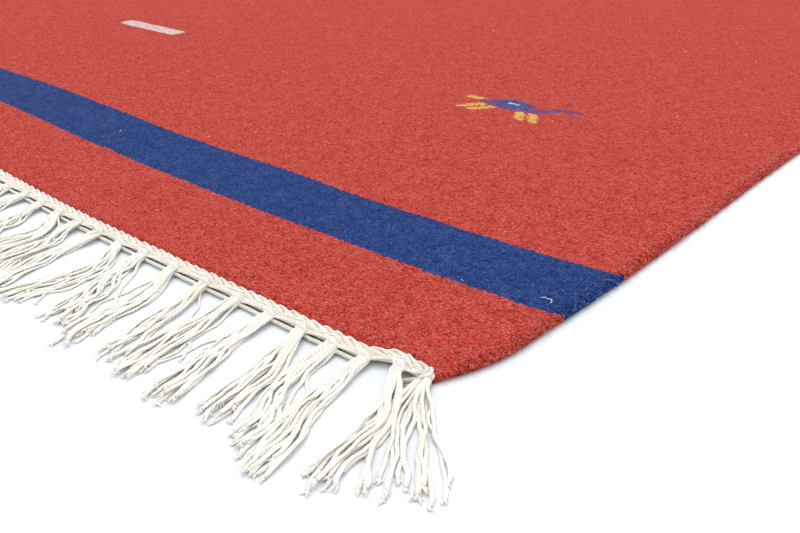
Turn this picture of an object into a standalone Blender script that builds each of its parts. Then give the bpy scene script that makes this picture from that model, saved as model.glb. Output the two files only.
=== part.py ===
"""A flat-woven kilim rug with a knotted edging and a tasselled fringe at both ends.

The cloth lies flat on z = 0, with its width along X and its length along Y. The origin is
the middle of its underside. The back end is the front end turned half a turn about Z.
All sizes are in metres.
"""

from math import cos, pi, radians, sin

import bmesh
import bpy
from mathutils import Matrix, Vector

# Woven cloth
FIELD_WIDTH = 1.200          # selvedge to selvedge
FIELD_LENGTH = 1.780         # between the two knotted edgings
FIELD_THICKNESS = 0.0060     # cotton warps wrapped in wool weft
CORNER_RADIUS = 0.014        # the cloth's corners, seen from above
SELVEDGE_ROUND = 0.0028      # the turned wefts make a round edge
CORNER_STEPS = 4
SELVEDGE_STEPS = 3

# Knotted edging
EDGING_WIDTH = 0.0090
EDGING_HEIGHT = 0.0054
EDGING_INSET = 0.010         # each end stops this far inside the selvedge
EDGING_ROUND = 0.0022
EDGING_STEPS = 3

# Fringe
TASSEL_COUNT = 48
TASSEL_INSET = 0.016         # from the selvedge to the middle of the last tassel
SPINE_DEPTH = 0.0045         # the cord that runs from tassel to tassel, and its slit
SPINE_HEIGHT = 0.0046
TASSEL_LENGTH = 0.088        # along the yarns
LEAN = radians(16)           # every tassel is combed towards one selvedge
LEAN_SWAY = radians(2.2)
LENGTH_SWAY = 0.05           # as a share of the length
CORNER_LEAN = radians(38)    # the last tassel at that selvedge is brushed outwards
CORNER_LENGTH = 0.078

# One row for each station along a tassel, from its root in the spine to its tip
TASSEL_SECTIONS = (
    # along: share of the length, half_width: metres, height: metres
    dict(along=0.00, half_width=0.0040, height=0.0046),
    dict(along=0.04, half_width=0.0044, height=0.0052),
    dict(along=0.12, half_width=0.0038, height=0.0048),
    dict(along=0.45, half_width=0.0062, height=0.0040),
    dict(along=0.90, half_width=0.0078, height=0.0032),
    dict(along=1.00, half_width=0.0048, height=0.0026),
)

GAP = 0.0003                 # between neighbouring pieces

LAST_TASSEL = TASSEL_COUNT - 1
TASSEL_PITCH = (FIELD_WIDTH - 2 * TASSEL_INSET) / LAST_TASSEL
EDGING_MIDDLE = FIELD_LENGTH / 2 + GAP + EDGING_WIDTH / 2
SPINE_START = FIELD_LENGTH / 2 + EDGING_WIDTH + 2 * GAP


def clear_scene():
    for old in list(bpy.data.objects):
        bpy.data.objects.remove(old, do_unlink=True)


def fabric(name, colour, roughness):
    material = bpy.data.materials.new(name)
    material.use_nodes = True
    shader = material.node_tree.nodes["Principled BSDF"]
    shader.inputs["Base Color"].default_value = (*colour, 1.0)
    shader.inputs["Roughness"].default_value = roughness
    shader.inputs["Metallic"].default_value = 0.0
    return material


def add_piece(name, mesh_source, material, collection):
    """Turn a bmesh into a named, smooth-shaded object of the rug."""
    mesh = bpy.data.meshes.new(name)
    mesh_source.to_mesh(mesh)
    mesh_source.free()
    mesh.materials.append(material)
    mesh.shade_smooth()
    mesh.set_sharp_from_angle(angle=radians(40))
    piece = bpy.data.objects.new(name, mesh)
    collection.objects.link(piece)
    return piece


def is_upright(edge):
    run = edge.verts[1].co - edge.verts[0].co
    return abs(run.z) > 0.9 * run.length


def is_rim(edge):
    """An edge between a level face and a side face."""
    level = [abs(face.normal.z) > 0.9 for face in edge.link_faces]
    return any(level) and not all(level)


def build_field(material, collection):
    """A flat slab with rounded corners in plan and a round selvedge all the way along."""
    cloth = bmesh.new()
    middle = Matrix.Translation((0, 0, FIELD_THICKNESS / 2))
    size = Matrix.Diagonal((FIELD_WIDTH, FIELD_LENGTH, FIELD_THICKNESS, 1))
    bmesh.ops.create_cube(cloth, size=1, matrix=middle @ size)
    uprights = [edge for edge in cloth.edges if is_upright(edge)]
    bmesh.ops.bevel(
        cloth, geom=uprights, offset=CORNER_RADIUS, segments=CORNER_STEPS,
        profile=0.5, affect="EDGES",
    )
    cloth.normal_update()
    rims = [edge for edge in cloth.edges if is_rim(edge)]
    bmesh.ops.bevel(
        cloth, geom=rims, offset=SELVEDGE_ROUND, segments=SELVEDGE_STEPS,
        profile=0.5, affect="EDGES",
    )
    return add_piece("woven_field", cloth, material, collection)


def build_edging(name, material, collection, turn):
    """A flat cotton bar along one end, its long edges and its ends rounded."""
    bar = bmesh.new()
    middle = Matrix.Translation((0, -EDGING_MIDDLE, EDGING_HEIGHT / 2))
    length = FIELD_WIDTH - 2 * EDGING_INSET
    size = Matrix.Diagonal((length, EDGING_WIDTH, EDGING_HEIGHT, 1))
    bmesh.ops.create_cube(bar, size=1, matrix=middle @ size)
    piece = add_piece(name, bar, material, collection)
    piece.rotation_euler.z = turn
    rounding = piece.modifiers.new("round edges", "BEVEL")
    rounding.width = EDGING_ROUND
    rounding.segments = EDGING_STEPS
    rounding.limit_method = "ANGLE"
    return piece


def tassel_root(index):
    across = TASSEL_INSET + index * TASSEL_PITCH - FIELD_WIDTH / 2
    return Vector((across, -SPINE_START - SPINE_DEPTH, 0))


def tassel_length(index):
    if index == LAST_TASSEL:
        return CORNER_LENGTH
    return TASSEL_LENGTH * (1 + LENGTH_SWAY * sin(1.7 * index))


def tassel_direction(index):
    lean = LEAN + LEAN_SWAY * sin(2.4 * index)
    if index == LAST_TASSEL:
        lean = CORNER_LEAN
    return Vector((sin(lean), -cos(lean), 0))


def extrude_to(mesh, edge, ends):
    """Extrude one open edge and put its two new corners at the given points."""
    made = bmesh.ops.extrude_edge_only(mesh, edges=[edge])["geom"]
    corners = [item for item in made if isinstance(item, bmesh.types.BMVert)]
    corners.sort(key=lambda corner: corner.co.x + corner.co.y)
    for corner, place in zip(corners, sorted(ends, key=lambda place: place.x + place.y)):
        corner.co = place
    return next(edge for edge in corners[0].link_edges if corners[1] in edge.verts)


def build_spine(mesh, heights):
    """The strip of cords along the edging. Returns the open root edge of each tassel."""
    half_root = TASSEL_SECTIONS[0]["half_width"]
    stops = [-FIELD_WIDTH / 2 + EDGING_INSET]
    for index in range(TASSEL_COUNT):
        middle = tassel_root(index).x
        stops += [middle - half_root, middle + half_root]
    stops.append(FIELD_WIDTH / 2 - EDGING_INSET)
    inner_row = [mesh.verts.new((stop, -SPINE_START, 0)) for stop in stops]
    outer_row = [mesh.verts.new((stop, -SPINE_START - SPINE_DEPTH, 0)) for stop in stops]
    for corner in inner_row + outer_row:
        corner[heights] = SPINE_HEIGHT
    for step in range(len(stops) - 1):
        mesh.faces.new(
            (outer_row[step], outer_row[step + 1], inner_row[step + 1], inner_row[step])
        )
    roots = []
    for index in range(TASSEL_COUNT):
        left = outer_row[2 * index + 1]
        right = outer_row[2 * index + 2]
        roots.append(mesh.edges.get((left, right)))
    return roots


def build_tassel(mesh, root_edge, index, heights):
    """One tooth of the comb, extruded station by station from its root."""
    direction = tassel_direction(index)
    across = Vector((-direction.y, direction.x, 0))
    edge = root_edge
    for section in TASSEL_SECTIONS[1:]:
        middle = tassel_root(index) + direction * section["along"] * tassel_length(index)
        reach = across * section["half_width"]
        edge = extrude_to(mesh, edge, [middle - reach, middle + reach])
        for corner in edge.verts:
            corner[heights] = section["height"]


def build_fringe(name, material, collection, turn):
    """A comb that lies on the floor: a sheet of its outline, raised to its height at each point."""
    comb = bmesh.new()
    heights = comb.verts.layers.float.new("height")
    roots = build_spine(comb, heights)
    for index, root_edge in enumerate(roots):
        build_tassel(comb, root_edge, index, heights)
    bmesh.ops.recalc_face_normals(comb, faces=comb.faces)
    underside = list(comb.faces)
    if underside[0].normal.z > 0:
        bmesh.ops.reverse_faces(comb, faces=underside)
    raised = bmesh.ops.extrude_face_region(comb, geom=underside, use_keep_orig=True)["geom"]
    for item in raised:
        if isinstance(item, bmesh.types.BMVert):
            item.co.z = item[heights]
    bmesh.ops.recalc_face_normals(comb, faces=comb.faces)
    piece = add_piece(name, comb, material, collection)
    piece.rotation_euler.z = turn
    return piece


def main():
    clear_scene()
    collection = bpy.data.collections.new("kilim_rug")
    bpy.context.scene.collection.children.link(collection)
    wool = fabric("wool weave", colour=(0.552, 0.074, 0.055), roughness=0.95)
    knotted_cotton = fabric("knotted cotton", colour=(0.855, 0.823, 0.745), roughness=0.9)
    loose_cotton = fabric("cotton yarn", colour=(0.823, 0.791, 0.708), roughness=0.9)
    build_field(wool, collection)
    build_edging("knotted_edge_front", knotted_cotton, collection, turn=0)
    build_edging("knotted_edge_back", knotted_cotton, collection, turn=pi)
    build_fringe("fringe_front", loose_cotton, collection, turn=0)
    build_fringe("fringe_back", loose_cotton, collection, turn=pi)


main()
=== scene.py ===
"""The finish of a flat-woven kilim rug.

A weft-faced wool cloth lies on the floor. Its cotton warps are knotted into a flat edging at
each end, and their loose ends are gathered in tassels. The end pieces are modelled at the front
end (-Y) and copied to the back end by half a turn about Z, as the frame's own end nodes are.
Lengths are in metres.
"""
from math import pi, radians

import bpy
import numpy as np
from mathutils import Matrix, Vector


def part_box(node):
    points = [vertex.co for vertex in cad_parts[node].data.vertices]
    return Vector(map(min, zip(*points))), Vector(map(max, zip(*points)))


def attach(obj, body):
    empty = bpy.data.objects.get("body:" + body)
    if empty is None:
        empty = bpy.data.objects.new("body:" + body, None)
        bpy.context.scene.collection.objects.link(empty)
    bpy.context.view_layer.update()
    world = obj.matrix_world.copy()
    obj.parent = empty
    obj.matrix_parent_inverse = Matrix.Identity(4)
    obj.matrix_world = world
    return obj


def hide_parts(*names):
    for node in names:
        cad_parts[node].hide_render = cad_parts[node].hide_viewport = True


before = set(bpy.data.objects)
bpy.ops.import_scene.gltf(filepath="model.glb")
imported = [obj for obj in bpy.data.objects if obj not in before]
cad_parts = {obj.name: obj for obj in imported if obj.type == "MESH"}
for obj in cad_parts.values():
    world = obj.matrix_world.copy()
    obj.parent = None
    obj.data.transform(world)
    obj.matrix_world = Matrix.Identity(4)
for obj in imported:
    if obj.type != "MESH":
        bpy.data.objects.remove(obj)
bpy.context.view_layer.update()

CLOTH_LOW, CLOTH_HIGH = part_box("woven_field")
EDGING_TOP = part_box("knotted_edge_front")[1].z

HALF_WIDTH = CLOTH_HIGH.x
HALF_LENGTH = CLOTH_HIGH.y
THICKNESS = CLOTH_HIGH.z
CLOTH_END = CLOTH_LOW.y            # the wool stops here at the front end
MM = 0.001
WELD = 0.01 * MM                   # points closer than this are one

# Weave
WARP_PITCH = 3.2 * MM
WEFT_PITCH = 1.7 * MM
STRIPE_START = 79.5 * MM           # from the end of the wool, where the wefts hang lowest
STRIPE_WIDTH = 63.5 * MM
# The wefts wave a little: how far they are beaten up towards the middle of the rug at the stripe,
# against the distance across, in millimetres
WEFT_BOW = ((-600, 10), (-150, 15), (320, 0), (600, 12))
WIDEST_BOW = 20                    # the height of the chart that the bow is drawn on

# Selvedge
TURN_PITCH = 2.9 * MM
TURN_RADIUS = 2.0 * MM
CORNER_TAPER = 50 * MM             # the selvedge draws in over this length before a corner
CORNER_PULL = 13 * MM

# Knotted edging
BUMP_PITCH = 8.5 * MM

# Fringe
TASSEL_COUNT = 48
TASSEL_INSET = 16 * MM
HEAD_LINE = CLOTH_END - 12.0 * MM  # the middle of the tassel heads
YARN_RADIUS = 1.14 * MM
TASSEL_LENGTH = 88 * MM
TASSEL_LEAN = radians(16)
CORNER_LEAN = radians(35)
SHORT_YARN = 80 * MM               # the yarns at the corner, and the stray ones
CORNER_SPREAD = 17 * MM
FEWEST_YARNS = 11
MOST_YARNS = 14
NARROWEST = 3.2 * MM               # half the width of a tassel where it is drawn together

RED = "C13C34"
BLUE = "0A3376"

# Small inlaid figures, each built up from ovals and leaning bars. A shape has its middle, half its
# size and how far its top leans, in millimetres from the figure's own middle. Corners of 2 make it
# a plain oval, and corners of 6 a bar with rounded ends.
ANIMAL = (0.350, -0.495)
DASH = (-0.220, -0.505)
OVAL = 2.0
BAR = 6.0
YELLOW = "E4AE55"
VIOLET = "6A3D78"
FIGURES = (
    # two hind legs, two fore legs and the tail of a small running animal
    dict(colour=YELLOW, place=ANIMAL, across=-34, up=-13, wide=5, high=14, lean=8, corners=BAR),
    dict(colour=YELLOW, place=ANIMAL, across=-20, up=-13, wide=5, high=14, lean=8, corners=BAR),
    dict(colour=YELLOW, place=ANIMAL, across=18, up=-13, wide=5, high=14, lean=-8, corners=BAR),
    dict(colour=YELLOW, place=ANIMAL, across=32, up=-13, wide=5, high=14, lean=-8, corners=BAR),
    dict(colour=YELLOW, place=ANIMAL, across=-46, up=9, wide=12, high=4, lean=0, corners=BAR),
    # its body, neck and head
    dict(colour=VIOLET, place=ANIMAL, across=-2, up=6, wide=38, high=12, lean=0, corners=OVAL),
    dict(colour=VIOLET, place=ANIMAL, across=36, up=17, wide=6, high=11, lean=6, corners=BAR),
    dict(colour=VIOLET, place=ANIMAL, across=48, up=26, wide=13, high=5, lean=0, corners=OVAL),
    # a blue blanket on its back, with one pale stitch
    dict(colour="25448F", place=ANIMAL, across=-6, up=12, wide=20, high=13, lean=0, corners=OVAL),
    dict(colour="CBCAD0", place=ANIMAL, across=-6, up=13, wide=7, high=2.5, lean=0, corners=OVAL),
    # a plain pale bar
    dict(colour="E1CAC5", place=DASH, across=0, up=0, wide=60, high=12, lean=0, corners=BAR),
)


# ---------------------------------------------------------------- small helpers

def deselect_all():
    for item in bpy.context.selected_objects:
        item.select_set(False)


def make_active(piece):
    deselect_all()
    bpy.context.view_layer.objects.active = piece
    piece.select_set(True)


def linear(colour):
    """An sRGB hex colour as linear RGBA."""
    parts = [int(colour[start:start + 2], 16) / 255 for start in (0, 2, 4)]
    parts = [part / 12.92 if part < 0.04045 else ((part + 0.055) / 1.055) ** 2.4 for part in parts]
    return (*parts, 1.0)


def add_node(tree, kind, sockets=None, **settings):
    """Add a shader node. sockets maps input names or numbers to values or to other outputs."""
    made = tree.nodes.new(kind)
    for name, value in settings.items():
        setattr(made, name, value)
    for socket, value in (sockets or {}).items():
        if isinstance(value, bpy.types.NodeSocket):
            tree.links.new(value, made.inputs[socket])
        else:
            made.inputs[socket].default_value = value
    return made


def smooth_step(value):
    value = np.clip(value, 0, 1)
    return value * value * (3 - 2 * value)


def spin_yarns(name, paths, radii, bevel_resolution=1):
    """Lay yarns as curves of round section along lists of points, and turn them into one mesh."""
    curve = bpy.data.curves.new(name, "CURVE")
    curve.dimensions = "3D"
    curve.bevel_depth = 1.0
    curve.bevel_resolution = bevel_resolution
    curve.use_fill_caps = True
    for path, radius in zip(paths, radii):
        spline = curve.splines.new("POLY")
        spline.points.add(len(path) - 1)
        places = np.ones((len(path), 4), np.float32)
        places[:, :3] = path
        spline.points.foreach_set("co", places.ravel())
        widths = np.broadcast_to(np.asarray(radius, np.float32), (len(path),))
        spline.points.foreach_set("radius", np.ascontiguousarray(widths))
    piece = bpy.data.objects.new(name, curve)
    bpy.context.scene.collection.objects.link(piece)
    make_active(piece)
    bpy.ops.object.convert(target="MESH")
    bpy.ops.object.mode_set(mode="EDIT")
    bpy.ops.mesh.select_all(action="SELECT")
    bpy.ops.mesh.remove_doubles(threshold=WELD)
    bpy.ops.object.mode_set(mode="OBJECT")
    piece.data.shade_smooth()
    return piece


def points_of(piece):
    places = np.zeros(len(piece.data.vertices) * 3)
    piece.data.vertices.foreach_get("co", places)
    return places.reshape(-1, 3)


def set_points(piece, places):
    piece.data.vertices.foreach_set("co", places.ravel())
    piece.data.update()


def turned_copy(piece, name):
    """The same piece at the back end, with its own mesh."""
    copy = piece.copy()
    copy.data = piece.data.copy()
    copy.name = name
    copy.data.name = name
    copy.data.transform(Matrix.Rotation(pi, 4, "Z"))
    bpy.context.scene.collection.objects.link(copy)
    return copy


def hand_over(piece, slot, material, *nodes):
    """Give a finished piece its material and its place in the frame."""
    piece.data.materials.clear()
    piece.data.materials.append(material)
    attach(piece, "root")
    if nodes:
        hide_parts(*nodes)


def hand_over_pair(piece, twin_name, slot, material, *nodes):
    """Hand over a piece and its copy at the other end or side. nodes are those they stand for."""
    twin = turned_copy(piece, twin_name)
    hand_over(piece, slot, material, *nodes[:1])
    hand_over(twin, slot, material, *nodes[1:])
    return twin


# ---------------------------------------------------------------- materials

def new_finish(name, inputs):
    """A material, its node tree and its shader, with the shader's own settings."""
    material = bpy.data.materials.new(name)
    material.use_nodes = True
    shader = material.node_tree.nodes["Principled BSDF"]
    for socket, value in inputs.items():
        shader.inputs[socket].default_value = value
    return material, material.node_tree, shader


def drawn_curve(tree, reach, points):
    """A curve drawn through points, which are shares of its width and height."""
    node = add_node(tree, "ShaderNodeFloatCurve", {"Value": reach})
    curve = node.mapping.curves[0]
    curve.points[0].location = points[0]
    curve.points[1].location = points[-1]
    for point in points[1:-1]:
        curve.points.new(*point)
    for point in curve.points:
        point.handle_type = "AUTO"
    node.mapping.update()
    return node.outputs[0]


def woven_place(tree, place):
    """Where each point sits in the weave: which warp, which weft, and where inside that grain."""
    wander = add_node(tree, "ShaderNodeTexNoise", {"Vector": place, "Scale": 160.0, "Detail": 2.0})
    nudge = add_node(tree, "ShaderNodeVectorMath", {0: wander.outputs["Color"], 1: (0.5, 0.5, 0.5)},
                     operation="SUBTRACT")
    nudge = add_node(tree, "ShaderNodeVectorMath", {0: nudge.outputs[0], 1: (6 * MM, 4 * MM, 0.0)},
                     operation="MULTIPLY")
    drift = add_node(tree, "ShaderNodeTexNoise", {"Vector": place, "Scale": 14.0, "Detail": 1.0})
    drift = add_node(tree, "ShaderNodeVectorMath", {0: drift.outputs["Color"], 1: (0.5, 0.5, 0.5)},
                     operation="SUBTRACT")
    drift = add_node(tree, "ShaderNodeVectorMath", {0: drift.outputs[0], 1: (0.0, 6 * MM, 0.0)},
                     operation="MULTIPLY")
    woven = add_node(tree, "ShaderNodeVectorMath", {0: place, 1: nudge.outputs[0]}, operation="ADD")
    woven = add_node(tree, "ShaderNodeVectorMath", {0: woven.outputs[0], 1: drift.outputs[0]},
                     operation="ADD")
    split = add_node(tree, "ShaderNodeSeparateXYZ", {0: woven.outputs[0]})
    end = add_node(tree, "ShaderNodeMath", {0: split.outputs["Y"]}, operation="SIGN")
    across = add_node(tree, "ShaderNodeMath", {0: split.outputs["X"], 1: end.outputs[0]},
                      operation="MULTIPLY")
    across = add_node(tree, "ShaderNodeMapRange",
                      {"Value": across.outputs[0], "From Min": HALF_WIDTH, "From Max": -HALF_WIDTH},
                      clamp=True)
    bow = drawn_curve(tree, across.outputs[0],
                      [((across * MM / HALF_WIDTH + 1) / 2, up / WIDEST_BOW) for across, up in WEFT_BOW])
    most = WIDEST_BOW * MM / (HALF_LENGTH - STRIPE_START)
    bow = add_node(tree, "ShaderNodeMath", {0: bow, 1: most, 2: 1.0}, operation="MULTIPLY_ADD")
    beaten = add_node(tree, "ShaderNodeMath", {0: split.outputs["Y"], 1: bow.outputs[0]},
                      operation="MULTIPLY")

    warp = add_node(tree, "ShaderNodeMath", {0: split.outputs["X"], 1: WARP_PITCH}, operation="DIVIDE")
    warp_number = add_node(tree, "ShaderNodeMath", {0: warp.outputs[0]}, operation="FLOOR").outputs[0]
    in_warp = add_node(tree, "ShaderNodeMath", {0: warp.outputs[0]}, operation="FRACT").outputs[0]
    stagger = add_node(tree, "ShaderNodeMath", {0: warp_number, 1: 2.0}, operation="FLOORED_MODULO")
    stagger = add_node(tree, "ShaderNodeMath", {0: stagger.outputs[0], 1: 0.5}, operation="MULTIPLY")
    weft = add_node(tree, "ShaderNodeMath", {0: beaten.outputs[0], 1: WEFT_PITCH}, operation="DIVIDE")
    weft = add_node(tree, "ShaderNodeMath", {0: weft.outputs[0], 1: stagger.outputs[0]}, operation="ADD")
    weft_number = add_node(tree, "ShaderNodeMath", {0: weft.outputs[0]}, operation="FLOOR").outputs[0]
    in_weft = add_node(tree, "ShaderNodeMath", {0: weft.outputs[0]}, operation="FRACT").outputs[0]
    row = add_node(tree, "ShaderNodeMath", {0: weft_number, 1: stagger.outputs[0]},
                   operation="SUBTRACT")
    row_place = add_node(tree, "ShaderNodeMath", {0: row.outputs[0], 1: WEFT_PITCH},
                         operation="MULTIPLY").outputs[0]
    column_place = add_node(tree, "ShaderNodeMath", {0: warp_number, 1: WARP_PITCH},
                            operation="MULTIPLY").outputs[0]
    return warp_number, weft_number, in_warp, in_weft, column_place, row_place


def between(tree, value, low, high):
    """One where the value is inside the bounds and nothing elsewhere."""
    above = add_node(tree, "ShaderNodeMath", {0: value, 1: low}, operation="GREATER_THAN")
    below = add_node(tree, "ShaderNodeMath", {0: value, 1: high}, operation="LESS_THAN")
    return add_node(tree, "ShaderNodeMath", {0: above.outputs[0], 1: below.outputs[0]},
                    operation="MULTIPLY").outputs[0]


def stripe_mask(tree, row_place):
    """The border stripe near each end of the wool."""
    along = add_node(tree, "ShaderNodeMath", {0: row_place}, operation="ABSOLUTE")
    return between(tree, along.outputs[0], HALF_LENGTH - STRIPE_START - STRIPE_WIDTH,
                   HALF_LENGTH - STRIPE_START)


def inlaid_mask(tree, column_place, row_place, shape):
    """Whole grains inside an oval or a leaning bar."""
    wide = shape["wide"] * MM
    high = shape["high"] * MM
    middle = (shape["place"][0] + shape["across"] * MM, shape["place"][1] + shape["up"] * MM)
    upwards = add_node(tree, "ShaderNodeMath", {0: row_place, 1: 1 / high, 2: -middle[1] / high},
                       operation="MULTIPLY_ADD").outputs[0]
    sideways = add_node(tree, "ShaderNodeMath", {0: column_place, 1: 1 / wide, 2: -middle[0] / wide},
                        operation="MULTIPLY_ADD").outputs[0]
    sideways = add_node(tree, "ShaderNodeMath", {0: upwards, 1: -shape["lean"] * MM / wide, 2: sideways},
                        operation="MULTIPLY_ADD").outputs[0]
    total = 0.0
    for share in (upwards, sideways):
        size = add_node(tree, "ShaderNodeMath", {0: share}, operation="ABSOLUTE")
        size = add_node(tree, "ShaderNodeMath", {0: size.outputs[0], 1: shape["corners"]},
                        operation="POWER")
        total = add_node(tree, "ShaderNodeMath", {0: size.outputs[0], 1: total},
                         operation="ADD").outputs[0]
    return add_node(tree, "ShaderNodeMath", {0: total, 1: 1.0}, operation="LESS_THAN").outputs[0]


def wool_weave(name, turned_wefts=False):
    """Hand-spun wool, piece-dyed and packed down over the warps: matt, hairy and a little uneven.
    Each grain is one weft pass over one warp. It gives the eye a fine staggered rice-grain
    texture with painted shade in the gaps and between the clumps, pale loose hairs with painted
    highlight where the fibres lift, and a soft bloom at low angles."""
    material, tree, shader = new_finish(name, {
        "Roughness": 0.95, "Specular IOR Level": 0.04, "Sheen Weight": 0.03, "Sheen Roughness": 0.5,
        "Sheen Tint": linear("FFF6F2")})
    place = add_node(tree, "ShaderNodeTexCoord").outputs["Object"]
    warp_number, weft_number, in_warp, in_weft, column_place, row_place = woven_place(tree, place)

    # the dyed yarns: the red field, the blue stripe and the small inlaid figures
    stripe = stripe_mask(tree, row_place)
    dyed = add_node(tree, "ShaderNodeMix", {0: stripe, 6: linear(RED), 7: linear(BLUE)},
                    data_type="RGBA").outputs[2]
    for shape in () if turned_wefts else FIGURES:
        mask = inlaid_mask(tree, column_place, row_place, shape)
        dyed = add_node(tree, "ShaderNodeMix", {0: mask, 6: dyed, 7: linear(shape["colour"])},
                        data_type="RGBA").outputs[2]

    if turned_wefts:
        # painted shade: the wefts turned round the selvedge are darkened, as its side is in shade
        dyed = add_node(tree, "ShaderNodeHueSaturation", {"Value": 0.87, "Color": dyed}).outputs[0]

    # the swelling of one grain, and how much it differs from its neighbours
    swells = []
    for share in (in_warp, in_weft):
        swell = add_node(tree, "ShaderNodeMath", {0: share, 1: pi}, operation="MULTIPLY")
        swell = add_node(tree, "ShaderNodeMath", {0: swell.outputs[0]}, operation="SINE")
        swell = add_node(tree, "ShaderNodeMath", {0: swell.outputs[0], 1: 0.8}, operation="POWER")
        swells.append(swell.outputs[0])
    hump = add_node(tree, "ShaderNodeMath", {0: swells[0], 1: swells[1]}, operation="MULTIPLY").outputs[0]
    grain_number = add_node(tree, "ShaderNodeCombineXYZ", {0: warp_number, 1: weft_number, 2: 0.5})
    lot = add_node(tree, "ShaderNodeTexWhiteNoise", {"Vector": grain_number.outputs[0]},
                   noise_dimensions="3D").outputs["Value"]

    # fibres along the weft, felted clumps, and curly loose hairs over everything
    stretched = add_node(tree, "ShaderNodeMapping", {"Vector": place, "Scale": (0.75, 1.0, 1.0)})
    fibre = add_node(tree, "ShaderNodeTexNoise",
                     {"Vector": stretched.outputs[0], "Scale": 950.0, "Detail": 3.0, "Roughness": 0.7,
                      "Distortion": 1.0}).outputs[0]
    clump = add_node(tree, "ShaderNodeTexNoise",
                     {"Vector": stretched.outputs[0], "Scale": 380.0, "Detail": 2.0, "Roughness": 0.6,
                      "Distortion": 1.2}).outputs[0]
    curl = add_node(tree, "ShaderNodeTexNoise", {"Vector": place, "Scale": 300.0, "Detail": 1.0,
                                                "Distortion": 2.0})
    curl = add_node(tree, "ShaderNodeMath", {0: curl.outputs[0], 1: 0.5}, operation="SUBTRACT")
    curl = add_node(tree, "ShaderNodeMath", {0: curl.outputs[0]}, operation="ABSOLUTE")
    hair = add_node(tree, "ShaderNodeMapRange",
                    {"Value": curl.outputs[0], "From Min": 0.0, "From Max": 0.025, "To Min": 1.0,
                     "To Max": 0.0}, clamp=True)
    patchy = add_node(tree, "ShaderNodeTexNoise", {"Vector": place, "Scale": 110.0, "Detail": 1.0})
    patchy = add_node(tree, "ShaderNodeMapRange",
                      {"Value": patchy.outputs[0], "From Min": 0.40, "From Max": 0.60, "To Min": 0.0,
                       "To Max": 1.0}, clamp=True)
    hair = add_node(tree, "ShaderNodeMath", {0: hair.outputs[0], 1: patchy.outputs[0]},
                    operation="MULTIPLY").outputs[0]

    # tone: painted shade between the grains and between the felted clumps, mixed with random tone
    # from grain to grain and along the fibres
    uneven = add_node(tree, "ShaderNodeMath", {0: lot, 1: 0.6, 2: 0.5}, operation="MULTIPLY_ADD")
    grained = add_node(tree, "ShaderNodeMath", {0: hump, 1: uneven.outputs[0]}, operation="MULTIPLY")
    grained = add_node(tree, "ShaderNodeMath", {0: grained.outputs[0], 1: 0.0 if turned_wefts else 0.36},
                       operation="MULTIPLY")
    felted = add_node(tree, "ShaderNodeMapRange",
                      {"Value": clump, "From Min": 0.32, "From Max": 0.68,
                       "To Min": -0.15, "To Max": 1.0}, clamp=False)
    tone = add_node(tree, "ShaderNodeMath", {0: grained.outputs[0], 1: felted.outputs[0]},
                    operation="ADD")
    fine = add_node(tree, "ShaderNodeMapRange",
                    {"Value": fibre, "From Min": 0.35, "From Max": 0.65, "To Min": -0.46,
                     "To Max": 0.52}, clamp=False)
    tone = add_node(tree, "ShaderNodeMath", {0: tone.outputs[0], 1: fine.outputs[0]}, operation="ADD",
                    use_clamp=True).outputs[0]
    # the dark end of the tone: painted shade in the gaps and clumps, with some darker fibres
    dark_and_shaded = add_node(tree, "ShaderNodeHueSaturation", {"Saturation": 1.07, "Value": 0.42, "Color": dyed})
    toned = add_node(tree, "ShaderNodeMix", {0: tone, 6: dark_and_shaded.outputs[0], 7: dyed},
                     data_type="RGBA").outputs[2]
    # pale loose hairs, and painted highlight where the fibres lift, both mixed towards a paler tint
    bloom = add_node(tree, "ShaderNodeMix", {0: stripe, 6: linear("F3BCA9"), 7: linear("8BA4DC")},
                     data_type="RGBA")
    pale = add_node(tree, "ShaderNodeMix", {0: 0.5, 6: dyed, 7: bloom.outputs[2]}, data_type="RGBA")
    lifted = add_node(tree, "ShaderNodeMapRange",
                      {"Value": fibre, "From Min": 0.50, "From Max": 0.70, "To Min": 0.0,
                       "To Max": 0.58}, clamp=True)
    haze = add_node(tree, "ShaderNodeMath", {0: hair, 1: 0.55, 2: lifted.outputs[0]},
                    operation="MULTIPLY_ADD", use_clamp=True)
    haired = add_node(tree, "ShaderNodeMix", {0: haze.outputs[0], 6: toned, 7: pale.outputs[2]},
                      data_type="RGBA").outputs[2]
    tree.links.new(haired, shader.inputs["Base Color"])

    height = add_node(tree, "ShaderNodeMath", {0: hump, 1: 0.0 if turned_wefts else 0.5},
                      operation="MULTIPLY")
    grain = add_node(tree, "ShaderNodeMath", {0: fibre, 1: 0.6, 2: height.outputs[0]},
                     operation="MULTIPLY_ADD")
    height = add_node(tree, "ShaderNodeMath", {0: clump, 1: 1.6, 2: grain.outputs[0]},
                      operation="MULTIPLY_ADD")
    bump = add_node(tree, "ShaderNodeBump", {"Height": height.outputs[0], "Strength": 1.0,
                                             "Distance": 0.0010})
    tree.links.new(bump.outputs[0], shader.inputs["Normal"])
    return material


def wool_hair(name):
    """Single wool fibres that stand out of the cloth, lighter than the yarn: painted light, standing
    for the light that passes through them. They soften the rim of the rug."""
    material, tree, shader = new_finish(name, {"Roughness": 0.6, "Specular IOR Level": 0.3})
    place = add_node(tree, "ShaderNodeTexCoord").outputs["Object"]
    row_place = woven_place(tree, place)[-1]
    stripe = stripe_mask(tree, row_place)
    colour = add_node(tree, "ShaderNodeMix", {0: stripe, 6: linear("E58A7E"), 7: linear("7F93C4")},
                      data_type="RGBA")
    tree.links.new(colour.outputs[2], shader.inputs["Base Color"])
    return material


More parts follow.
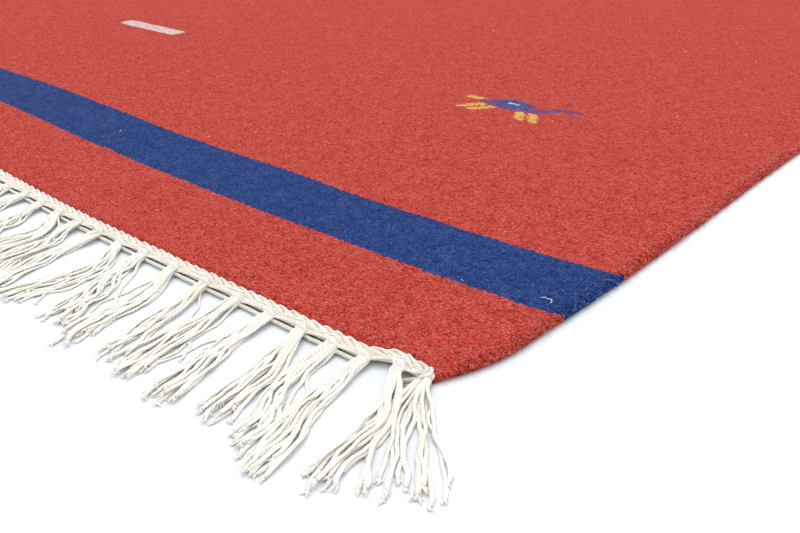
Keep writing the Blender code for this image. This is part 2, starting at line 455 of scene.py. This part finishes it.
def plied_cotton(name, turns, light, shade, relief, opens=False):
    """Undyed cotton of two plies twisted together, matt and near white. It gives the eye a
    slanting rope line along each yarn, with painted shade in the grooves and beige that differs
    from yarn to yarn. A yarn that opens loses its twist towards the far end."""
    material, tree, shader = new_finish(name, {
        "Roughness": 0.9, "Specular IOR Level": 0.2, "Sheen Weight": 0.8, "Subsurface Weight": 0.15,
        "Subsurface Radius": (1.0, 0.92, 0.8), "Subsurface Scale": 1.2 * MM})
    run = add_node(tree, "ShaderNodeUVMap", uv_map="UVMap")
    split = add_node(tree, "ShaderNodeSeparateXYZ", {0: run.outputs[0]})
    yarn_lot = add_node(tree, "ShaderNodeNewGeometry").outputs["Random Per Island"]
    started = add_node(tree, "ShaderNodeMath", {0: split.outputs[1], 1: yarn_lot}, operation="ADD")
    wound = add_node(tree, "ShaderNodeMath", {0: split.outputs[0], 1: turns, 2: started.outputs[0]},
                     operation="MULTIPLY_ADD")
    spiral = add_node(tree, "ShaderNodeMath", {0: wound.outputs[0], 1: 2 * pi}, operation="MULTIPLY")
    ridge = add_node(tree, "ShaderNodeMath", {0: spiral.outputs[0]}, operation="SINE")
    ridge = add_node(tree, "ShaderNodeMath", {0: ridge.outputs[0]}, operation="ABSOLUTE").outputs[0]
    if opens:
        twist = add_node(tree, "ShaderNodeMapRange", {"Value": split.outputs[0], "From Min": 0.78,
                                                     "From Max": 0.93, "To Min": 0.0, "To Max": 0.7})
        ridge = add_node(tree, "ShaderNodeMix", {0: twist.outputs[0], 2: ridge, 3: 1.0}).outputs[0]
    place = add_node(tree, "ShaderNodeTexCoord").outputs["Object"]
    fluff = add_node(tree, "ShaderNodeTexNoise", {"Vector": place, "Scale": 1200.0,
                                                 "Detail": 3.0}).outputs[0]
    drift = add_node(tree, "ShaderNodeTexNoise", {"Vector": place, "Scale": 45.0, "Detail": 2.0})
    fluffed = add_node(tree, "ShaderNodeMath", {0: fluff, 1: 0.7, 2: -0.15}, operation="MULTIPLY_ADD")
    # painted shade in the ply grooves: the shade colour in each groove, the light colour on each ridge
    tone = add_node(tree, "ShaderNodeMath", {0: ridge, 1: 0.75, 2: fluffed.outputs[0]},
                    operation="MULTIPLY_ADD", use_clamp=True)
    toned = add_node(tree, "ShaderNodeMix", {0: tone.outputs[0], 6: linear(shade), 7: linear(light)},
                     data_type="RGBA")
    wear = add_node(tree, "ShaderNodeMapRange", {"Value": drift.outputs[0], "From Min": 0.48,
                                                "From Max": 0.75, "To Min": 0.0, "To Max": 0.4},
                    clamp=True)
    wear = add_node(tree, "ShaderNodeMath", {0: yarn_lot, 1: 0.22, 2: wear.outputs[0]},
                    operation="MULTIPLY_ADD", use_clamp=True)
    colour = add_node(tree, "ShaderNodeMix", {0: wear.outputs[0], 6: toned.outputs[2],
                                              7: linear("D8CEBB")}, data_type="RGBA")
    tree.links.new(colour.outputs[2], shader.inputs["Base Color"])
    height = add_node(tree, "ShaderNodeMath", {0: fluff, 1: 0.8, 2: ridge}, operation="MULTIPLY_ADD")
    bump = add_node(tree, "ShaderNodeBump", {"Height": height.outputs[0], "Strength": relief,
                                             "Distance": 0.0003})
    tree.links.new(bump.outputs[0], shader.inputs["Normal"])
    return material


def cotton_fluff(name):
    """Loose cotton fibres, untwisted at the yarn ends: bright, with painted light standing for the light
    that passes through them.
    """
    return new_finish(name, {"Base Color": linear("E3E0D8"), "Roughness": 0.9,
                             "Specular IOR Level": 0.1, "Sheen Weight": 0.3})[0]


# ---------------------------------------------------------------- woven cloth

# The selvedge and the end of the wool are never quite straight: how far each is out of line, against
# the distance from the end and the distance across, in millimetres
SELVEDGE_WANDER = ((0, 0), (150, 2), (450, -4), (890, 0))
END_WANDER = ((-600, 0), (-300, -2), (50, 6), (300, -2), (600, 0))


def eased(value, points):
    """A smooth line through points given in millimetres."""
    places, offsets = np.array(points).T * MM
    left = np.clip(np.searchsorted(places, value) - 1, 0, len(places) - 2)
    share = smooth_step((value - places[left]) / (places[left + 1] - places[left]))
    return offsets[left] + (offsets[left + 1] - offsets[left]) * share


def follow_end(piece):
    """Move a piece of the front end along with the end of the wool."""
    places = points_of(piece)
    places[:, 1] += eased(places[:, 0], END_WANDER)
    set_points(piece, places)


def selvedge_line(along):
    """How far from the middle the selvedge is, at that place along the rug."""
    from_end = HALF_LENGTH - np.abs(along)
    pull = np.clip(1 - from_end / CORNER_TAPER, 0, 1) ** 1.8
    return HALF_WIDTH - CORNER_PULL * pull + eased(from_end, SELVEDGE_WANDER)


def cloth_swell(across, along):
    """The unevenness of hand-woven cloth on a floor: long soft waves of under a millimetre."""
    slow = np.sin(9.1 * across + 2.0) * np.sin(6.3 * along + 0.7)
    quick = np.sin(31 * across + 4 * np.sin(7 * along)) * np.sin(27 * along + 3 * np.sin(9 * across))
    return 0.35 * MM * slow + 0.18 * MM * quick


# The round of the selvedge, from the flat top to the flat underside
SELVEDGE_SECTION = (
    # inset from the selvedge line, height as a share of the thickness
    dict(inset=15 * MM, height=1.00),
    dict(inset=9.5 * MM, height=0.98),
    dict(inset=6.2 * MM, height=0.94),
    dict(inset=4.0 * MM, height=0.86),
    dict(inset=2.4 * MM, height=0.74),
    dict(inset=1.4 * MM, height=0.58),
    dict(inset=1.0 * MM, height=0.42),
    dict(inset=1.1 * MM, height=0.26),
    dict(inset=2.2 * MM, height=0.10),
    dict(inset=4.5 * MM, height=0.00),
)
WOOL_OVERLAP = 1.4 * MM            # the wool runs this far into the edging
END_REACH = 60 * MM                # and gives way to it over this length
# The first rows of the cloth, close together where the wool rolls over at its end
END_ROWS = (-1.4, -0.4, 1.2, 4.0, 8.0, 12.0, 17.0, 24.0)
FIRST_EVEN_ROW = 32 * MM
TOP_COLUMNS = 80
UNDER_COLUMNS = 12
CLOTH_ROWS = 150


def build_cloth():
    """A closed sheet: rows of one cross-section from end to end."""
    top = np.linspace(-1, 1, TOP_COLUMNS + 1)[1:-1]
    under = np.linspace(1, -1, UNDER_COLUMNS + 1)[1:-1]
    round_edge = SELVEDGE_SECTION
    sides, insets, heights = [], [], []
    for share in top:
        sides.append(share)
        insets.append(round_edge[0]["inset"])
        heights.append(1.0)
    for point in round_edge:
        sides.append(1.0)
        insets.append(point["inset"])
        heights.append(point["height"])
    for share in under:
        sides.append(share)
        insets.append(round_edge[-1]["inset"])
        heights.append(0.0)
    for point in reversed(round_edge):
        sides.append(-1.0)
        insets.append(point["inset"])
        heights.append(point["height"])
    sides, insets, heights = (np.array(row) for row in (sides, insets, heights))
    near_end = np.array(END_ROWS) * MM
    middle = np.linspace(-HALF_LENGTH + FIRST_EVEN_ROW, HALF_LENGTH - FIRST_EVEN_ROW, CLOTH_ROWS)
    rows = np.concatenate((-HALF_LENGTH + near_end, middle, HALF_LENGTH - near_end[::-1]))
    bpy.ops.mesh.primitive_grid_add(x_subdivisions=len(sides), y_subdivisions=len(rows) - 1, size=2)
    piece = bpy.context.object
    piece.name = "kilim_cloth"
    start = points_of(piece)
    column = np.rint((start[:, 0] + 1) / 2 * len(sides)).astype(int) % len(sides)
    row = np.rint((start[:, 1] + 1) / 2 * (len(rows) - 1)).astype(int)
    along = rows[row]
    across = sides[column] * (selvedge_line(along) - insets[column])
    from_end = HALF_LENGTH - np.abs(along)
    end = np.where(along < 0, 1, -1)
    drawn = wool_lift(end * across) + eased(end * across, END_WANDER)
    along = along + end * drawn * (1 - np.clip(from_end / END_REACH, 0, 1)) ** 2
    drop = 0.45 * (1 - np.clip((from_end + WOOL_OVERLAP) / (3 * MM), 0, 1)) ** 2
    rise = heights[column]
    up = rise * (THICKNESS * (1 - drop) + cloth_swell(across, along) - 0.35 * MM)
    set_points(piece, np.column_stack((across, along, np.maximum(up, 0))))
    make_active(piece)
    bpy.ops.object.mode_set(mode="EDIT")
    bpy.ops.mesh.select_all(action="SELECT")
    bpy.ops.mesh.remove_doubles(threshold=WELD)
    bpy.ops.mesh.fill_holes(sides=0)
    bpy.ops.mesh.normals_make_consistent(inside=False)
    bpy.ops.object.mode_set(mode="OBJECT")
    piece.data.shade_smooth()
    return piece


# The path of one weft round the selvedge: it leaves the cloth, turns and goes back under
TURN_SECTION = (
    dict(inset=15.0 * MM, height=3.0 * MM),
    dict(inset=10.0 * MM, height=3.75 * MM),
    dict(inset=7.0 * MM, height=3.9 * MM),
    dict(inset=4.8 * MM, height=3.75 * MM),
    dict(inset=3.2 * MM, height=3.3 * MM),
    dict(inset=2.3 * MM, height=2.8 * MM),
    dict(inset=2.0 * MM, height=2.2 * MM),
    dict(inset=2.8 * MM, height=1.9 * MM),
    dict(inset=5.0 * MM, height=1.7 * MM),
)


def build_weft_turns():
    """The wefts that turn round the +X selvedge, in uneven pairs."""
    rng = np.random.default_rng(11)
    insets = np.array([point["inset"] for point in TURN_SECTION])
    heights = np.array([point["height"] for point in TURN_SECTION])
    steps = np.linspace(0, 1, len(insets))
    limit = HALF_LENGTH - 1.5 * MM
    paths, radii = [], []
    for number in range(int(2 * limit / TURN_PITCH)):
        paired = 0.16 if number % 2 else -0.16
        along = -limit + (number + paired + rng.uniform(-0.25, 0.25)) * TURN_PITCH
        slant = np.clip(along + (steps - 0.4) * rng.uniform(0.5, 4.0) * MM, -limit, limit)
        out = rng.uniform(-0.4, 0.4) * MM * np.sin(steps * pi)
        across = selvedge_line(slant) - insets + out
        from_end = HALF_LENGTH - np.abs(slant)
        sink = 1 - 0.35 * (1 - smooth_step(from_end / (16 * MM)))
        up = (heights + rng.uniform(-0.15, 0.15) * MM) * sink + cloth_swell(across, slant)
        swell = 0.7 + 0.3 * np.sin(np.clip(steps * 1.25, 0, 1) * pi)
        radius = TURN_RADIUS * rng.uniform(0.85, 1.15) * swell
        paths.append(np.column_stack((across, slant, np.maximum(up, radius))))
        radii.append(radius)
    return spin_yarns("selvedge_right", paths, radii)


SELVEDGE_HAIRS = 2000
LINT_FLECKS = 90


def build_selvedge_hair():
    """Loose curly fibres along the +X selvedge, most of them on its round."""
    rng = np.random.default_rng(47)
    insets = np.array([point["inset"] for point in TURN_SECTION])
    heights = np.array([point["height"] for point in TURN_SECTION])
    paths, radii = [], []
    steps = np.linspace(0, 1, 4)
    for hair in range(SELVEDGE_HAIRS):
        along = rng.uniform(-HALF_LENGTH + 2 * MM, HALF_LENGTH - 2 * MM)
        inset = np.clip(rng.exponential(9.0), 0.6, 60) * MM
        if rng.random() < 0.25:
            inset, height = 1.2 * MM, rng.uniform(1.2, 3.5) * MM
        else:
            height = np.interp(inset, insets[6::-1], heights[6::-1]) + TURN_RADIUS * 0.8
        across = selvedge_line(along) - inset
        length = rng.uniform(3.0, 10.0) * MM
        facing = rng.uniform(0, 2 * pi)
        curl = rng.normal(0, 2.4)
        angle = facing + curl * steps
        dx = np.cumsum(np.cos(angle)) * length / 4
        dy = np.cumsum(np.sin(angle)) * length / 4
        rise = rng.uniform(0.2, 1.4) * MM * np.sin(steps * pi * 0.8)
        path = np.column_stack((across + dx - dx[0], along + dy - dy[0], height + rise))
        path[:, 1] = np.clip(path[:, 1], -HALF_LENGTH, HALF_LENGTH)
        outside = path[:, 0] - selvedge_line(path[:, 1])
        path[:, 2] -= np.clip(outside, 0, None) * 0.5
        path[:, 2] = np.clip(path[:, 2], 0.2 * MM, THICKNESS + 1.4 * MM)
        paths.append(path)
        radii.append(rng.uniform(0.08, 0.15) * MM * (1 - 0.6 * steps))
    return spin_yarns("selvedge_hair_right", paths, radii, bevel_resolution=0)


# ---------------------------------------------------------------- knotted edging

def corner_lift(across):
    """How far the edging rides up into the wool near the corner that the tassels lean to."""
    from_corner = HALF_WIDTH - across
    rise = smooth_step((58 * MM - from_corner) / (21 * MM))
    ease = smooth_step((38 * MM - from_corner) / (14 * MM))
    return 7.3 * MM * rise - 1.8 * MM * ease


def wool_lift(across):
    """The end of the wool gives way to the edging, except at the very corner."""
    from_corner = HALF_WIDTH - across
    return corner_lift(across) * smooth_step((from_corner - 13 * MM) / (9 * MM))


# The tassel heads stand close at the corner the tassels lean to, and each gap from there is a
# little wider than the last. Past these heads they are evenly spaced.
FIRST_HEAD = 15.5 * MM
FIRST_GAP = 17 * MM
GAP_GROWTH = 2 * MM
WIDEST_GAP = 30 * MM
CLOSE_GAPS = 9


def tassel_heads():
    gaps = np.minimum(FIRST_GAP + GAP_GROWTH * np.arange(CLOSE_GAPS), WIDEST_GAP)
    close = HALF_WIDTH - FIRST_HEAD - np.concatenate(([0], np.cumsum(gaps)))
    count = TASSEL_COUNT - len(close)
    even = np.linspace(close[-1], -HALF_WIDTH + TASSEL_INSET, count + 1)[1:]
    return np.concatenate((close, even))


# A yarn of the upper row: up out of the wool, along the edge and down into the lower row
UPPER_ROW = (
    dict(along=-2.6, away=2.9, height=3.0),
    dict(along=-1.0, away=2.25, height=4.6),
    dict(along=1.0, away=2.1, height=5.5),
    dict(along=3.4, away=2.55, height=5.6),
    dict(along=6.2, away=3.7, height=5.4),
    dict(along=9.0, away=5.1, height=4.9),
    dict(along=11.6, away=6.3, height=4.2),
    dict(along=13.6, away=7.1, height=3.3),
)
# How each of the four yarns of a bump is set off from the first
BUMP_YARNS = (
    dict(along=0.0, away=-0.1, height=0.15),
    dict(along=2.1, away=0.2, height=0.05),
    dict(along=4.2, away=0.65, height=-0.1),
    dict(along=6.2, away=1.0, height=-0.3),
)
# A yarn of the lower row: from one tassel head, drawing back a little, to the next. The places
# along it are shares of the way between the two heads.
LOWER_ROW = (
    dict(share=0.04, away=10.8, height=2.6),
    dict(share=0.14, away=10.6, height=3.9),
    dict(share=0.32, away=10.3, height=4.5),
    dict(share=0.55, away=9.8, height=4.7),
    dict(share=0.78, away=9.0, height=4.6),
    dict(share=0.98, away=7.8, height=4.2),
    dict(share=1.15, away=6.8, height=3.4),
)
BEND_REACH = 22 * MM               # the edging starts to bend round this far from the corner
BEND_CENTRE = 9.3 * MM             # and bends about a point this far from the end of the wool
BEND_INSIDE = 1.7 * MM
BEND_LENGTH = 9.3 * MM


def bent_round(along, away):
    """Bend the end of the edging down into the last tassel."""
    start = HALF_WIDTH - BEND_REACH
    turn = np.clip((along - start) / BEND_LENGTH, 0, None)
    angle = np.minimum(turn, radians(86))
    past = np.clip(turn - radians(86), 0, 0.9) * BEND_LENGTH * 0.6
    bent = turn > 0
    inside = BEND_INSIDE * smooth_step(turn / 0.5)
    radius = np.maximum(BEND_CENTRE - away, inside)
    new_along = np.where(bent, start + radius * np.sin(angle), along)
    new_away = np.where(bent, BEND_CENTRE - radius * np.cos(angle) + past, away)
    return new_along, new_away


def lay_edging_yarn(along, away, up, radius):
    lift = np.clip(corner_lift(along), 0, None)
    along, away = bent_round(along, away)
    up = np.clip(up, radius, EDGING_TOP + 0.4 * MM)
    return np.column_stack((along, CLOTH_END - away + lift, up))


def build_edging():
    """Two rows of slanting yarns over a bed of long ones. Each group of the upper row makes a
    bump against the wool. The lower row runs from tassel head to tassel head."""
    rng = np.random.default_rng(23)
    upper = np.array([(row["along"], row["away"], row["height"]) for row in UPPER_ROW]) * MM
    shares = np.array([row["share"] for row in LOWER_ROW])
    lower = np.array([(row["away"], row["height"]) for row in LOWER_ROW]) * MM
    limit = -HALF_WIDTH + 3 * MM
    paths, radii = [], []
    for group in range(int((2 * HALF_WIDTH - 8 * MM) / BUMP_PITCH)):
        start = limit - 4 * MM + (group + rng.uniform(-0.1, 0.1)) * BUMP_PITCH
        fullness = rng.uniform(-0.2, 0.2)
        for yarn in BUMP_YARNS:
            along = start + upper[:, 0] + (yarn["along"] + rng.uniform(-0.35, 0.35)) * MM
            away = upper[:, 1] + (yarn["away"] + fullness + rng.normal(0, 0.13, len(upper))) * MM
            up = upper[:, 2] + (yarn["height"] + rng.normal(0, 0.1, len(upper))) * MM
            keep = along > limit
            if keep.sum() > 3:
                radius = rng.uniform(0.66, 0.78) * MM
                paths.append(lay_edging_yarn(along, away, up, radius)[keep])
                radii.append(np.full(keep.sum(), radius))
    heads = np.sort(tassel_heads())
    for head, following in zip(heads[:-1], heads[1:]):
        for yarn in range(4):
            begin = head + yarn * rng.uniform(1.0, 2.4) * MM
            along = begin + shares * (following - begin)
            away = lower[:, 0] - (yarn * 1.2 + rng.normal(0, 0.2, len(lower))) * MM
            up = lower[:, 1] + (0.1 * yarn + 0.4 * (yarn % 2) - 0.1 + rng.normal(0, 0.14, len(lower))) * MM
            radius = rng.uniform(0.62, 0.74) * MM
            paths.append(lay_edging_yarn(along, away, up, radius))
            radii.append(np.full(len(along), radius))
    bed = np.arange(limit, HALF_WIDTH - 9 * MM, 4 * MM)
    for away, up in ((1.9, 3.8), (3.5, 4.2), (5.2, 3.9), (6.9, 3.5), (8.6, 3.2)):
        paths.append(lay_edging_yarn(bed, np.full(len(bed), away * MM), np.full(len(bed), up * MM), 1 * MM))
        radii.append(np.full(len(bed), 1.0 * MM))
    return spin_yarns("edging_front", paths, radii)


# ---------------------------------------------------------------- fringe

def settle(across, radius):
    """Heights of yarns that lie on the floor and on each other at each place along a tassel.
    across has a row for each yarn, lowest first."""
    heights = np.zeros_like(across)
    for yarn in range(len(across)):
        height = np.full(across.shape[1], radius)
        for other in range(yarn):
            apart = np.abs(across[yarn] - across[other])
            reach = np.sqrt(np.clip(4 * radius ** 2 - apart ** 2, 0, None)) * 0.85
            height = np.where(apart < 2 * radius, np.maximum(height, heights[other] + reach), height)
        heights[yarn] = height
    return heights


def smoothed(row, times=2):
    for _ in range(times):
        padded = np.pad(row, 1, mode="edge")
        row = (padded[:-2] + 2 * padded[1:-1] + padded[2:]) / 4
    return row


def wave(rng, distance, spans):
    """A smooth random wander along a yarn, about one unit high."""
    total = np.zeros_like(distance)
    for span in spans:
        turn = distance / (span * rng.uniform(0.8, 1.25)) * 2 * pi
        total += np.sin(turn + rng.uniform(0, 2 * pi)) / len(spans) ** 0.5
    return total


# How the yarns of a tassel come together out of the edging: along from the head towards the far
# side, away from the wool, height, and how far they stand apart for a yarn at the outside
GATHER = (
    dict(along=-8.0, away=6.4, height=3.2, apart=2.7),
    dict(along=-5.6, away=7.4, height=4.4, apart=2.9),
    dict(along=-3.2, away=8.6, height=4.9, apart=3.0),
    dict(along=-1.3, away=9.8, height=4.7, apart=3.1),
    dict(along=-0.2, away=11.0, height=4.2, apart=3.2),
)
# The same for the tassel at the corner, out of the bent end of the edging
CORNER_GATHER = (
    dict(along=-2.2, away=3.2, height=2.8, apart=1.5),
    dict(along=-1.5, away=5.1, height=3.9, apart=2.2),
    dict(along=-0.7, away=7.0, height=4.3, apart=2.9),
)


def tassel_yarns(rng, head, lean, length, yarns, spread, unruly=1.0, last=False):
    """The yarns of one tassel: out of the edging, over the cord, and down along the floor."""
    stations = 19
    distance = np.linspace(0, length, stations)
    bend = 0.0 if last else rng.normal(0, radians(7) * unruly)
    sway = rng.normal(0, radians(9) * unruly)
    heading = lean + bend * (distance / length - 0.4) + sway * np.sin(2 * pi * distance / length + 1.0)
    step = distance[1]
    begin = CLOTH_END - 8.6 * MM if last else HEAD_LINE + 0.6 * corner_lift(head)
    middle_x = head + np.concatenate(([0], np.cumsum(np.sin(heading[:-1]) * step)))
    middle_y = begin - np.concatenate(([0], np.cumsum(np.cos(heading[:-1]) * step)))
    slots = (np.arange(yarns) + 0.5) / yarns * 2 - 1
    rebels = np.where(rng.random(yarns) < 0.15 * unruly, rng.normal(0, 0.9, yarns), 0)
    ends = np.clip(slots + rng.normal(0, 0.2, yarns) + rebels, -1.8, 1.8)
    opening = smooth_step((distance + 4 * MM) / (length * 0.95)) ** (0.5 if last else 0.75)
    loose = smooth_step(distance / (25 * MM))
    across = np.zeros((yarns, stations))
    for yarn in range(yarns):
        slow = wave(rng, distance, (70 * MM, 38 * MM)) * 1.5 * unruly * MM * loose
        quick = wave(rng, distance, (24 * MM, 14 * MM)) * 0.4 * MM * loose
        across[yarn] = slots[yarn] * NARROWEST * (1 - opening) + ends[yarn] * spread * opening
        across[yarn] += slow + quick
    order = rng.permutation(yarns)
    heights = np.minimum(settle(across[order], YARN_RADIUS), 5.0 * MM)
    down = smooth_step(distance / (16 * MM))
    lift = corner_lift(head)
    made = []
    for place, yarn in enumerate(order):
        layer = 2.6 * MM + 2.2 * MM * ((place + 0.5) / yarns)
        height = layer * (1 - down) + smoothed(heights[place]) * down
        x = middle_x + across[yarn] * np.cos(heading)
        y = middle_y + across[yarn] * np.sin(heading) * down
        start = []
        for point in CORNER_GATHER if last else GATHER:
            stand = (point["along"] + slots[yarn] * point["apart"] + rng.normal(0, 0.2)) * MM
            depth = (point["away"] + rng.normal(0, 0.15)) * MM
            rise = (point["height"] + 1.0 * (place + 0.5) / yarns - 0.7) * MM
            start.append((head + stand, CLOTH_END - depth + lift * (0.3 if last else 0.9), rise))
        cut = stations - int(rng.integers(0, 4))
        path = np.vstack((start, np.column_stack((x, y, height))[:cut]))
        radius = np.full(len(path), YARN_RADIUS * rng.uniform(0.86, 1.08))
        radius[-4:] *= (1.05, 1.15, 1.2, 1.0)
        path[:, 2] = np.maximum(path[:, 2], radius)
        made.append((path, radius))
    return made


def flattened(places):
    """Soft yarns lie flat on the floor under their own weight, once they are clear of the edging."""
    clear = smooth_step((CLOTH_END - 15 * MM - places[:, 1]) / (16 * MM))
    lying = places.copy()
    lying[:, 2] *= 1 - 0.45 * clear
    return lying


def build_fringe():
    """All the tassels of one end."""
    rng = np.random.default_rng(5)
    paths, radii = [], []
    for number, head in enumerate(tassel_heads()):
        if number == 0:
            made = tassel_yarns(rng, head, CORNER_LEAN, SHORT_YARN, MOST_YARNS, CORNER_SPREAD, 0.9,
                                last=True)
        else:
            lean = TASSEL_LEAN + radians(max(0, 22 - 8 * number)) + rng.normal(0, radians(5))
            length = TASSEL_LENGTH * rng.uniform(0.90, 1.06)
            yarns = FEWEST_YARNS + int(rng.integers(0, MOST_YARNS - FEWEST_YARNS + 1))
            spread = rng.uniform(4.5, 10.5) * MM
            unruly = rng.uniform(0.6, 0.9 + min(number, 8) * 0.17)
            made = tassel_yarns(rng, head, lean, length, yarns, spread, unruly)
        if number > 3 and rng.random() < 0.4:
            stray_lean = TASSEL_LEAN + rng.uniform(-0.7, 0.5)
            stray = tassel_yarns(rng, head, stray_lean, SHORT_YARN, 1, 2 * MM)
            made.append((stray[0][0], stray[0][1] * 0.6))
        for path, radius in made:
            paths.append(path)
            radii.append(radius)
    piece = spin_yarns("fringe_yarns_front", paths, radii)
    set_points(piece, flattened(points_of(piece)))
    return piece, [flattened(path) for path in paths]


def build_frays(yarns):
    """The plies and fibres that come apart at the end of each yarn."""
    rng = np.random.default_rng(8)
    steps = np.linspace(0, 1, 4)
    paths, radii = [], []
    for yarn in yarns:
        tip = yarn[-1]
        direction = yarn[-1] - yarn[-3]
        facing = np.arctan2(direction[1], direction[0])
        for strand in range(5):
            thick = strand < 4
            length = (rng.uniform(2.5, 5.5) if thick else rng.uniform(3, 7)) * MM
            spread = 0.33 if thick else 0.8
            angle = facing + rng.normal(0, spread) * steps ** 0.5 + rng.normal(0, 2.4 * spread) * steps
            dx = np.cumsum(np.cos(angle)) * length / 4
            dy = np.cumsum(np.sin(angle)) * length / 4
            x = tip[0] + dx - dx[0] + rng.normal(0, 0.4) * MM
            y = tip[1] + dy - dy[0] + rng.normal(0, 0.4) * MM
            z = tip[2] * (1 - steps * 0.4) + rng.uniform(0, 0.5) * MM * np.sin(steps * pi)
            if thick:
                width = rng.uniform(0.5, 0.9) * MM * (1 - 0.75 * steps)
            else:
                width = rng.uniform(0.07, 0.13) * MM * (1 - 0.5 * steps)
            paths.append(np.column_stack((x, y, np.maximum(z, width))))
            radii.append(width)
    return spin_yarns("fringe_frays_front", paths, radii, bevel_resolution=0)


def build_cord():
    """The cord that runs through the heads of the tassels, just clear of the floor, and its cut
    end beside the tassel at the corner."""
    rng = np.random.default_rng(31)
    heads = tassel_heads()
    across = np.arange(heads[-1] - 2 * MM, heads[2], 2.5 * MM)
    away = CLOTH_END - 11.8 * MM + 0.6 * corner_lift(across)
    away = away + rng.normal(0, 0.1, len(across)) * MM
    path = np.column_stack((across, away, np.full(len(across), 1.9 * MM)))
    stub = np.array([(-26.5, -11.6, 1.6), (-24.5, -10.2, 2.4), (-22.0, -8.6, 3.2), (-19.5, -7.0, 3.9),
                     (-17.0, -5.4, 4.2)]) * MM
    stub += np.array((HALF_WIDTH, CLOTH_END, 0))
    return spin_yarns("tie_cord_front", [path, stub], [np.full(len(across), 1.15 * MM),
                                                       np.full(len(stub), 1.4 * MM)])


def build_lint():
    """A few flecks of cream cotton that have worked up among the wool."""
    rng = np.random.default_rng(61)
    steps = np.linspace(0, 1, 5)
    paths, radii = [], []
    for fleck in range(LINT_FLECKS):
        across = rng.uniform(-HALF_WIDTH + 12 * MM, HALF_WIDTH - 12 * MM)
        along = rng.uniform(-HALF_LENGTH + 12 * MM, HALF_LENGTH - 12 * MM)
        length = rng.uniform(1.5, 5.0) * MM
        angle = rng.uniform(0, 2 * pi) + rng.normal(0, 1.8) * steps
        x = across + np.cumsum(np.cos(angle)) * length / 5
        y = along + np.cumsum(np.sin(angle)) * length / 5
        z = THICKNESS + cloth_swell(x, y) - 0.35 * MM + 0.35 * MM * np.sin(steps * pi)
        paths.append(np.column_stack((x, y, z)))
        radii.append(rng.uniform(0.14, 0.28) * MM * (1 - 0.5 * steps))
    curl = np.array([(-19, 98, 6.4), (-17, 99.5, 6.7), (-15, 98.5, 6.8), (-13, 99.5, 6.7),
                     (-12, 98, 6.5), (-11.5, 96, 6.3)]) * MM
    paths.append(curl + np.array((HALF_WIDTH, CLOTH_END, 0)))
    radii.append(np.full(len(curl), 0.24 * MM))
    return spin_yarns("cotton_lint", paths, radii, bevel_resolution=0)


# ---------------------------------------------------------------- stage

def build_stage():
    bpy.ops.mesh.primitive_plane_add(size=120, location=(0, 0, 0))
    floor = bpy.context.object
    floor.name = "floor"
    paper = new_finish("matt white floor", {"Base Color": (0.69, 0.715, 0.755, 1), "Roughness": 1.0,
                                            "Specular IOR Level": 0.0})[0]
    floor.data.materials.append(paper)

    world = bpy.data.worlds.new("soft white room")
    bpy.context.scene.world = world
    world.use_nodes = True
    world.node_tree.nodes["Background"].inputs["Color"].default_value = (1, 1, 1, 1)
    world.node_tree.nodes["Background"].inputs["Strength"].default_value = 1.22

    lamp = bpy.data.lights.new("softbox", "AREA")
    lamp.shape = "DISK"
    lamp.size = 14.4
    lamp.energy = 1650
    lamp.color = (1, 0.99, 0.97)
    softbox = bpy.data.objects.new("softbox", lamp)
    softbox.location = (-6.2, 7.0, 16.8)
    softbox.rotation_euler = (Vector((0.2, -0.6, 0)) - softbox.location).to_track_quat("-Z", "Y").to_euler()
    bpy.context.scene.collection.objects.link(softbox)

    bpy.context.scene.view_settings.view_transform = "Standard"


CAMERA_FROM_CORNER = Vector((0.2124, -0.2822, 0.2400))
CAMERA_TURN = radians(41.43)
CAMERA_DOWN = radians(26.08)
CAMERA_LENS = 40.33


def build_camera():
    camera = bpy.data.cameras.new("camera")
    camera.sensor_width = 36
    camera.lens = CAMERA_LENS
    camera.clip_start = 0.01
    stand = bpy.data.objects.new("camera", camera)
    stand.location = Vector((HALF_WIDTH, CLOTH_END, 0)) + CAMERA_FROM_CORNER
    stand.rotation_euler = (pi / 2 - CAMERA_DOWN, 0, CAMERA_TURN)
    bpy.context.scene.collection.objects.link(stand)
    bpy.context.scene.camera = stand


def main():
    deselect_all()
    build_camera()
    build_stage()
    weave = wool_weave("wool weft-faced weave")
    turned = wool_weave("wool wefts turned at the selvedge, with painted shade", turned_wefts=True)
    hair = wool_hair("loose wool fibres")
    cotton = plied_cotton("two-ply cotton yarn", 20.0, "E9E7E0", "D2CEC4", relief=0.75, opens=True)
    knotted = plied_cotton("knotted cotton yarn", 9.0, "EBE6DC", "CCC5B7", relief=0.65)
    cord_cotton = plied_cotton("cotton cord", 270.0, "E9E5DA", "C8C1B1", relief=0.8)
    fluff = cotton_fluff("loose cotton fibres")

    cloth = build_cloth()
    hand_over(cloth, "wool_weave", weave, "woven_field")

    right = build_weft_turns()
    left = hand_over_pair(right, "selvedge_left", "wool_weave", turned)
    hand_over_pair(build_selvedge_hair(), "selvedge_hair_left", "wool_weave", hair)

    edging = build_edging()
    follow_end(edging)
    edging_back = hand_over_pair(edging, "edging_back", "cotton_edging", knotted,
                                 "knotted_edge_front", "knotted_edge_back")
    yarns, paths = build_fringe()
    follow_end(yarns)
    yarns_back = hand_over_pair(yarns, "fringe_yarns_back", "cotton_fringe", cotton,
                                "fringe_front", "fringe_back")
    frays = build_frays(paths)
    follow_end(frays)
    hand_over_pair(frays, "fringe_frays_back", "cotton_fringe", fluff)
    cord = build_cord()
    follow_end(cord)
    hand_over_pair(cord, "tie_cord_back", "cotton_fringe", cord_cotton)

    lint = build_lint()
    hand_over(lint, "cotton_fringe", fluff)


main()
